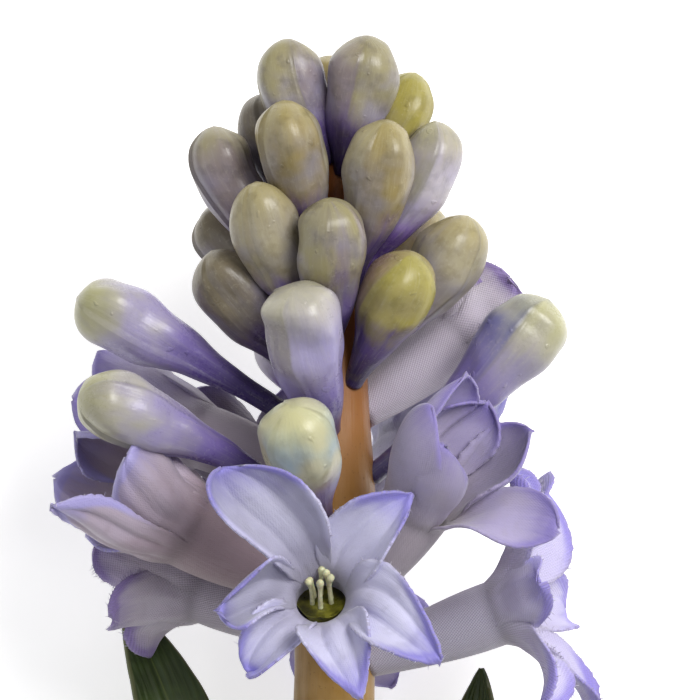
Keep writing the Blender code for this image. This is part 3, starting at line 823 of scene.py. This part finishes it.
class HYACINTH_OT_florets(bpy.types.Operator):
    """Adds the open florets, six cloth petals that meet in a tube"""
    bl_idname = "hyacinth.florets"
    bl_label = "Florets"

    columns = 24
    tube_rows = 18
    lobe_rows = 42

    def finishes(self):
        dyes = {
            "front": ((0.4, 0.38, 0.5), (0.64, 0.63, 0.84), (0.28, 0.25, 0.66), 0.03, 0.5),
            "rose": ((0.32, 0.23, 0.26), (0.5, 0.42, 0.52), (0.42, 0.38, 0.72), 0.03, 1.5),
            "violet": ((0.47, 0.41, 0.46), (0.44, 0.39, 0.6), (0.27, 0.22, 0.54), 0.03, 0.4),
            # a dark copy of the mauve cloth, painted shade for the inside of the floret at the back
            # left
            "dusty": ((0.22, 0.17, 0.2), (0.25, 0.22, 0.28), (0.2, 0.16, 0.36), 0.03, 0.3),
            "satin": ((0.6, 0.56, 0.66), (0.6, 0.56, 0.8), (0.33, 0.28, 0.72), 0.4, 0.8),
            "silver": ((0.56, 0.5, 0.6), (0.66, 0.6, 0.72), (0.3, 0.22, 0.52), 0.4, 0.6),
        }
        made = {}
        for name, (throat, blade, rim, weave, border) in dyes.items():
            inside = petal_finish(name, throat, blade, rim, weave, border)
            dull = [shade(dye, 0.94) for dye in (throat, blade, rim)]
            back = petal_finish(f"{name}_back", *dull, weave * 1.3 + 0.02, border)
            made[name] = (back, inside)
        return made

    def half_width(self, share, lobe, bore):
        start = bore * SECTOR
        if share < lobe.peak:
            return start + (lobe.half - start) * math.sin(0.5 * math.pi * share / lobe.peak)
        fall = ((share - lobe.peak) / (1.0 - lobe.peak)) ** (2.4 - 0.9 * lobe.point)
        return lobe.half * max(0.03, (1.0 - fall) ** (0.6 + 0.42 * lobe.point))

    def spine(self, lobe, bore):
        """(radius, side, rise, lean) for each row of a lobe, from the mouth to the tip."""

        def lean_at(share):
            opened = MOUTH_FLARE + (lobe.opening - MOUTH_FLARE) * share ** 0.6
            return math.radians(opened + lobe.curl * share ** 3)

        radius, side, rise = bore, 0.0, 0.0
        rows = []
        steps = 4
        run = lobe.length / self.lobe_rows / steps
        for row in range(self.lobe_rows + 1):
            share = row / self.lobe_rows
            lift = lobe.lift * smooth(share / 0.3)
            rows.append((radius, side, rise + lift, lean_at(share)))
            for step in range(steps):
                near = min(1.0, (row + (step + 0.5) / steps) / self.lobe_rows)
                bend, turn = lean_at(near), math.radians(lobe.sway) * min(1.0, 2.0 * near)
                radius += run * math.sin(bend) * math.cos(turn)
                rise += run * math.cos(bend) * math.cos(turn)
                side += run * math.sin(turn)
        return rows

    def petal(self, work, settings, flower, length, begin, azimuth, lobe, draw, marks):
        rows = self.tube_rows + self.lobe_rows
        dusk = work.verts.layers.float.get("dusk")
        grid = bmesh.ops.create_grid(work, x_segments=self.columns, y_segments=rows, size=1.0)
        spine = self.spine(lobe, flower.bore)
        outwards = spoke(azimuth)
        sideways = Vector((-outwards.y, outwards.x, 0.0))
        phases = [draw.uniform(0, math.tau) for _ in range(2)]
        seed = Vector((draw.uniform(0, 50), draw.uniform(0, 50), 0))
        frays, rims, inner = {}, {}, {}
        for vert in grid["verts"]:
            across = vert.co.x
            row = round((vert.co.y + 1.0) / 2.0 * rows)
            if row <= self.tube_rows:
                share = begin + (1.0 - begin) * row / self.tube_rows
                radius, side = tube_radius(share, flower.bore), 0.0
                rise, lean = length * share, 0.0
                half, bow, lobed, along = radius * SECTOR, SECTOR, 0.0, length * share
                mark, twist = share, 0.0
            else:
                share = (row - self.tube_rows) / self.lobe_rows
                radius, side, rise, lean = spine[row - self.tube_rows]
                rise += length
                along = length + lobe.length * share
                lobed = smooth(share / 0.25)
                half = self.half_width(share, lobe, flower.bore)
                bow = SECTOR + (math.radians(lobe.cup) - SECTOR) * smooth(share / 0.3)
                lean *= smooth(share / 0.15)
                mark, twist = 1.0 + share, math.radians(lobe.twist) * smooth(share)
            rim = half * (1.0 - abs(across))
            key = (row, across > 0)
            if rim < 1e-4 and lobed > 0.1:
                frays[key] = draw.uniform(-0.4, 1.0)
                across *= 1.0 + settings.fray / MM * frays[key] / max(half, 0.8)
                rims[key] = vert
            elif abs(across) > 1.0 - 3.0 / self.columns:
                inner[key] = vert
            bend = half / bow
            inwards = Vector((0, 0, math.sin(lean))) - outwards * math.cos(lean)
            level = sideways * math.cos(twist) + inwards * math.sin(twist)
            raised = inwards * math.cos(twist) - sideways * math.sin(twist)
            narrow = smooth(half / lobe.half * 1.4 - 0.3) * lobed
            channel = math.exp(-((abs(across) - 0.36) / 0.13) ** 2)
            relief = (0.35 * math.exp(-(across / 0.14) ** 2) - channel) * flower.ridge
            relief *= settings.ridge / MM
            hem = (0.1 + 0.35 * flower.ridge) * smooth((abs(across) - 0.74) / 0.26)
            phase = phases[across > 0]
            ripple = 0.75 * abs(across) ** 3 * math.sin(phase + 7.0 * mark + 1.5 * across)
            rumple = 0.7 * noise.noise(Vector((across * 0.9, mark * 2.6, 0)) + seed)
            height = bend * (1.0 - math.cos(bow * across))
            height += (relief + hem) * narrow + (ripple + rumple) * lobed
            point = outwards * radius + sideways * side
            point += level * (bend * math.sin(bow * across)) + raised * height
            point.z += rise
            vert.co = point
            rim = min(rim + 6.0 * (1.0 - lobed), (2.0 - mark) * lobe.length)
            marks[vert] = (half * across, along, rim, mark)
            vert[dusk] = lobe.dusk * lobed
        return [
            (vert.co.copy(), (vert.co - inner[key].co).normalized(), draw.uniform(0.25, 0.9))
            for key, vert in rims.items() if key in inner and draw.random() < lobe.fray
        ]

    def threads(self, loose):
        """The fine threads that have come loose from the cut rims."""
        draw = random.Random("threads")
        work = bmesh.new()
        for place, out, long in loose:
            jitter = Vector([draw.uniform(-0.5, 0.5) for _ in range(3)])
            along = (out + jitter).normalized()
            turn = Matrix.Translation(place + along * long * 0.45)
            turn = turn @ along.to_track_quat("Z", "Y").to_matrix().to_4x4()
            bmesh.ops.create_cone(
                work, cap_ends=True, segments=5, radius1=0.00007, radius2=0.00002, depth=long,
                matrix=turn,
            )
        dye = Finish("loose_threads", Sheen_Weight=0.3, Sheen_Roughness=0.5)
        tone = dye.noise(900.0, 2.0)
        dye.set("Base Color", dye.mix(tone.ramp(0.4, 0.6), (0.62, 0.6, 0.7), (0.3, 0.26, 0.42)))
        dye.set("Roughness", 0.5 + (tone - 0.5) * 0.3)
        finished(work, "loose_threads", [dye.material], "petal")

    def floret(self, name, settings, finishes, loose):
        flower = FLORETS[name]
        lying, length, leaving = floret_matrix(name)
        begin = max(0.0, (leaving - TUBE_SINK) / length)
        draw = random.Random(name)
        work = bmesh.new()
        # the layer that holds how much painted shade each lobe takes
        work.verts.layers.float.new("dusk")
        marks = {}
        for index, lobe in enumerate(flower.lobes):
            azimuth = math.radians(flower.turn + 60 * index)
            loose += [
                (lying @ place, lying.to_3x3().normalized() @ out, long * MM)
                for place, out, long in self.petal(
                    work, settings, flower, length, begin, azimuth, lobe, draw, marks)
            ]
        write_charts(work, marks)
        bmesh.ops.transform(work, matrix=lying, verts=work.verts)
        bmesh.ops.remove_doubles(work, verts=work.verts, dist=0.000002)
        piece = finished(work, f"cloth_{name}", finishes[flower.finish], "petal", name, shell=True)
        thicken(piece, "cloth", settings.thickness, lining=1)

    def execute(self, context):
        finishes = self.finishes()
        loose = []
        for name in FLORETS:
            self.floret(name, context.scene.hyacinth_florets, finishes, loose)
        self.threads(loose)
        return {"FINISHED"}


class HYACINTH_OT_stamens(bpy.types.Operator):
    """Adds the olive cup in each floret's throat, and the cream stamens that stand in it"""
    bl_idname = "hyacinth.stamens"
    bl_label = "Stamens"

    def finishes(self, settings):
        cup = Finish(
            "cup_olive", IOR=1.46, Coat_Weight=0.2, Coat_Roughness=0.2, Subsurface_Weight=0.05,
        )
        clouds = cup.noise(500.0, 4.0)
        olive = tuple(settings.olive)
        cup.set("Base Color", cup.mix(clouds.ramp(0.4, 0.65), olive, shade(olive, 2.4)))
        cup.set("Roughness", 0.32 + (clouds - 0.5) * 0.3)
        cup.bump(clouds, 0.0002, 0.6)
        cream = Finish("stamen_cream", IOR=1.46, Subsurface_Weight=0.15, Subsurface_Scale=0.001)
        grain = cream.noise(1500.0, 3.0)
        pale = tuple(settings.cream)
        cream.set("Base Color", cream.mix(grain.ramp(0.35, 0.7), pale, shade(pale, 0.72)))
        cream.set("Roughness", 0.4 + (grain - 0.5) * 0.3)
        cream.bump(grain, 0.00015, 0.6)
        return [cup.material, cream.material]

    def stamens(self, name, finishes):
        lying, length, _ = floret_matrix(name)
        draw = random.Random("stamens" + name)
        base = length - CUP_SETBACK
        nod = math.radians(FLORETS[name].nod)
        lying = lying @ Matrix.Translation((0, 0, base + 1)) @ Matrix.Rotation(nod, 4, "Y")
        lying = lying @ Matrix.Translation((0, 0, -base - 1))
        work = bmesh.new()
        brim = tube_radius((base + CUP_DEPTH) / length, FLORETS[name].bore) - CUP_GAP

        def cup_radius(share, angle):
            hexagon = 1.0 - 0.035 * math.cos(6 * angle)
            if share < 0.45:
                return brim * (share / 0.45) ** 0.8 * hexagon, 0.0
            return brim * (1.0 - 0.3 * (share - 0.45) / 0.55) * hexagon, 0.0

        def cup_centre(share):
            sink = 0.8 * (1.0 - smooth(share / 0.45))
            down = max(0.0, share - 0.45) / 0.55 * CUP_DEPTH
            return Vector((0, 0, base + CUP_DEPTH - sink - down))

        sweep(work, cup_centre, cup_radius, 36, 26)
        for index in range(6):
            angle = math.radians(60 * index + draw.uniform(-14, 14))
            out = spoke(angle)
            side = Vector((-out.y, out.x, 0.0))
            tall = 5.6 + 1.6 * math.sin(nod) + draw.uniform(-1.4, 0.7)
            foot = out * (brim - 0.6) * 0.5 + Vector((0, 0, base + CUP_DEPTH - 0.9))
            droop = draw.uniform(-0.5, 1.4)
            swing = side * draw.uniform(-0.9, 0.9)

            def thread(share, foot=foot, out=out, swing=swing, tall=tall, droop=droop):
                rise = 1.0 - share
                bent = out * (droop * rise ** 3 - 0.4 * rise) + swing * rise ** 2
                return foot + bent + Vector((0, 0, tall * rise - 0.5 * max(0.0, droop) * rise ** 4))

            def girth(share, angle):
                blob = 0.27 * math.exp(-((share - 0.12) / 0.13) ** 2)
                tip = math.sqrt(min(1.0, share / 0.07 + 0.02))
                return (0.27 + blob + 0.1 * share) * tip, 0.0

            before = len(work.faces)
            sweep(work, thread, girth, 12, 24)
            work.faces.ensure_lookup_table()
            for face in work.faces[before:]:
                face.material_index = 1
        bmesh.ops.transform(work, matrix=lying, verts=work.verts)
        node = "stamens" + name.removeprefix("floret")
        finished(work, f"moulded_{node}", finishes, "stamen", node)

    def execute(self, context):
        finishes = self.finishes(context.scene.hyacinth_stamens)
        for name in FLORETS:
            self.stamens(name, finishes)
        return {"FINISHED"}


class HYACINTH_OT_leaves(bpy.types.Operator):
    """Adds the strap leaves, ribbed along their middle"""
    bl_idname = "hyacinth.leaves"
    bl_label = "Leaves"

    columns = 28
    rows = 150
    chart_length = 120.0

    def finish(self, settings):
        made = Finish("leaf_green", IOR=1.45, Coat_Weight=0.12, Coat_Roughness=0.3)
        across, along = made.chart("threads")
        offset, share = made.chart("edge")
        clouds = made.noise(120.0, 4.0)
        veins = made.noise(1.0, 4.0, made.join(across * 2.2, along * 0.07, 0.0), 0.65)
        lines = (across * 6.2 + clouds * 3.0).sine()
        green, rib = tuple(settings.green), tuple(settings.rib)
        colour = made.mix(clouds.ramp(0.35, 0.7), green, shade(green, 2.1))
        colour = made.mix(veins.ramp(0.5, 0.75) * 0.5, colour, shade(rib, 0.55))
        colour = made.mix(lines.ramp(0.6, 1.0) * 0.16, colour, rib)
        colour = made.mix((1 - abs(offset).ramp(0.01, 0.07)) * 0.7, colour, rib)
        colour = made.mix(abs(offset).ramp(0.93, 1.0) * 0.6, colour, (0.12, 0.12, 0.04))
        colour = made.mix((1 - share.ramp(0.0, 0.25)) * 0.5, colour, (0.3, 0.32, 0.14))
        worn = share.ramp(0.93, 1.0) * clouds.ramp(0.4, 0.6)
        colour = made.mix(worn, colour, (0.1, 0.11, 0.02))
        made.set("Base Color", colour)
        made.set("Roughness", 0.42 + (veins - 0.5) * 0.3)
        made.bump(lines * 0.25 + veins * 0.8 + clouds * 0.4, 0.00025, 0.6)
        return made.material

    def leaf(self, name, settings, finish):
        foot, middle, tip, half, facing = LEAVES[name]
        foot, middle, tip = (standing(point) for point in (foot, middle, tip))
        around = math.radians(facing)
        inside = Vector((math.sin(around), -math.cos(around), 0.0))
        control = middle * 2.0 - (foot + tip) / 2.0
        work = bmesh.new()
        bmesh.ops.create_grid(work, x_segments=self.columns, y_segments=self.rows, size=1.0)
        draw = random.Random(name)
        seed = Vector((draw.uniform(0, 9), draw.uniform(0, 9), 0))
        marks = {}
        for vert in work.verts:
            across, share = vert.co.x, (vert.co.y + 1.0) / 2.0
            point = foot * (1 - share) ** 2 + control * 2 * share * (1 - share) + tip * share ** 2
            along = (control - foot) * (1 - share) + (tip - control) * share
            sideways = along.cross(inside).normalized()
            facing_in = sideways.cross(along).normalized()
            if facing_in.dot(inside) < 0:
                facing_in.negate()
            width = half * (0.7 + 0.3 * math.sin(math.pi * min(1.0, share * 1.3)))
            width *= max(0.003, 1.0 - max(0.0, (share - 0.5) / 0.5) ** 2.6) ** 0.8
            edge = 1.0 + 0.03 * noise.noise(Vector((across * 3.0, share * 26.0, 0)) + seed)
            groove = -0.35 * math.exp(-(across / 0.09) ** 2)
            ribs = 0.07 * math.cos(across * 24.0)
            wave = 0.8 * abs(across) ** 2 * noise.noise(Vector((across, share * 5.0, 4.0)) + seed)
            flat = point + sideways * width * across * edge
            vert.co = flat + facing_in * (width * 0.25 * across ** 2 + groove + ribs + wave)
            marks[vert] = (width * across, share * self.chart_length, across, share)
        write_charts(work, marks)
        buried = [
            vert for vert in work.verts
            if vert.co.xy.length < stem_radius(vert.co.z) + 0.1
        ]
        bmesh.ops.delete(work, geom=buried, context="VERTS")
        bmesh.ops.transform(work, matrix=LYING @ Matrix.Scale(MM, 4), verts=work.verts)
        piece = finished(work, f"strap_{name}", [finish], "leaf", name)
        thicken(piece, "flesh", settings.thickness)

    def execute(self, context):
        settings = context.scene.hyacinth_leaves
        finish = self.finish(settings)
        for name in LEAVES:
            self.leaf(name, settings, finish)
        return {"FINISHED"}


# where the camera looks, on the standing flower
VIEW_CENTRE = (16.0 / 7.0, 0.0, 50.0)


class HYACINTH_OT_stage(bpy.types.Operator):
    """Adds the pale floor, the studio lights and the camera above the flower"""
    bl_idname = "hyacinth.stage"
    bl_label = "Stage"

    def lamp(self, name, place, aim, size, energy, colour):
        light = bpy.data.lights.new(name, "AREA")
        light.shape = "DISK"
        light.size = size
        light.energy = energy
        light.color = colour
        lamp = bpy.data.objects.new(name, light)
        lamp.location = place
        lamp.rotation_euler = (aim - place).to_track_quat("-Z", "Y").to_euler()
        bpy.context.scene.collection.objects.link(lamp)

    def execute(self, context):
        settings = context.scene.hyacinth_stage
        work = bmesh.new()
        bmesh.ops.create_grid(work, x_segments=8, y_segments=8, size=3.0)
        mesh = bpy.data.meshes.new("floor")
        work.to_mesh(mesh)
        work.free()
        paper = Finish(
            "floor_paper", Roughness=0.9, Emission_Color=(1.0, 1.0, 1.0, 1.0),
            Emission_Strength=0.54,
        )
        grain = paper.noise(40.0, 3.0)
        paper.set("Base Color", paper.mix(grain, (0.93, 0.93, 0.93), (0.95, 0.95, 0.95)))
        mesh.materials.append(paper.material)
        floor = bpy.data.objects.new("floor", mesh)
        bpy.context.scene.collection.objects.link(floor)

        world = bpy.data.worlds.new("studio")
        world.use_nodes = True
        shade = world.node_tree.nodes["Background"]
        shade.inputs["Color"].default_value = (1.0, 1.0, 1.0, 1.0)
        shade.inputs["Strength"].default_value = settings.brightness
        context.scene.world = world
        context.scene.view_settings.view_transform = "Standard"

        middle = placed((2.0, 0.0, 50.0))
        turned = LYING.to_3x3()
        self.lamp("key", middle + turned @ Vector((0.3, -0.5, 0.3)), middle, 0.42, 4.2,
                  (1.0, 0.99, 0.97))
        self.lamp("fill", middle + turned @ Vector((-0.45, -0.35, 0.05)), middle, 0.4, 0.3,
                  (0.97, 0.98, 1.0))

        camera = bpy.data.cameras.new("above")
        camera.sensor_width = 36.0
        camera.lens = camera.sensor_width * settings.distance / settings.field
        camera.clip_start = 0.05
        camera.clip_end = 10.0
        above = bpy.data.objects.new("above", camera)
        context.scene.collection.objects.link(above)
        aim = Vector(VIEW_CENTRE) * MM
        above.location = LYING @ (aim + Vector((0.0, -settings.distance, 0.0)))
        right, up, back = (turned @ Vector(axis) for axis in ((1, 0, 0), (0, 0, 1), (0, -1, 0)))
        above.rotation_euler = Matrix((right, up, back)).transposed().to_euler()
        context.scene.camera = above
        return {"FINISHED"}


SETTINGS = {
    "hyacinth_stem": StemSettings, "hyacinth_buds": BudSettings,
    "hyacinth_florets": FloretSettings, "hyacinth_stamens": StamenSettings,
    "hyacinth_leaves": LeafSettings, "hyacinth_stage": StageSettings,
}
OPERATORS = (
    HYACINTH_OT_stem, HYACINTH_OT_buds, HYACINTH_OT_florets, HYACINTH_OT_stamens,
    HYACINTH_OT_leaves, HYACINTH_OT_stage,
)


class HYACINTH_PT_panel(bpy.types.Panel):
    """Lists the flower's pieces and their settings"""
    bl_idname = "HYACINTH_PT_panel"
    bl_label = "Hyacinth"
    bl_space_type = "VIEW_3D"
    bl_region_type = "UI"
    bl_category = "Hyacinth"

    def draw(self, context):
        for operator, key in zip(OPERATORS, SETTINGS):
            box = self.layout.box()
            box.operator(operator.bl_idname)
            settings = getattr(context.scene, key)
            for prop in settings.bl_rna.properties:
                if prop.identifier not in ("rna_type", "name"):
                    box.prop(settings, prop.identifier)


def register():
    for key, settings in SETTINGS.items():
        bpy.utils.register_class(settings)
        setattr(bpy.types.Scene, key, PointerProperty(type=settings))
    for operator in OPERATORS:
        bpy.utils.register_class(operator)
    bpy.utils.register_class(HYACINTH_PT_panel)


def unregister():
    bpy.utils.unregister_class(HYACINTH_PT_panel)
    for operator in reversed(OPERATORS):
        bpy.utils.unregister_class(operator)
    for key, settings in reversed(SETTINGS.items()):
        delattr(bpy.types.Scene, key)
        bpy.utils.unregister_class(settings)


def main():
    register()
    for operator in OPERATORS:
        family, action = operator.bl_idname.split(".")
        getattr(getattr(bpy.ops, family), action)()


if __name__ == "__main__":
    main()
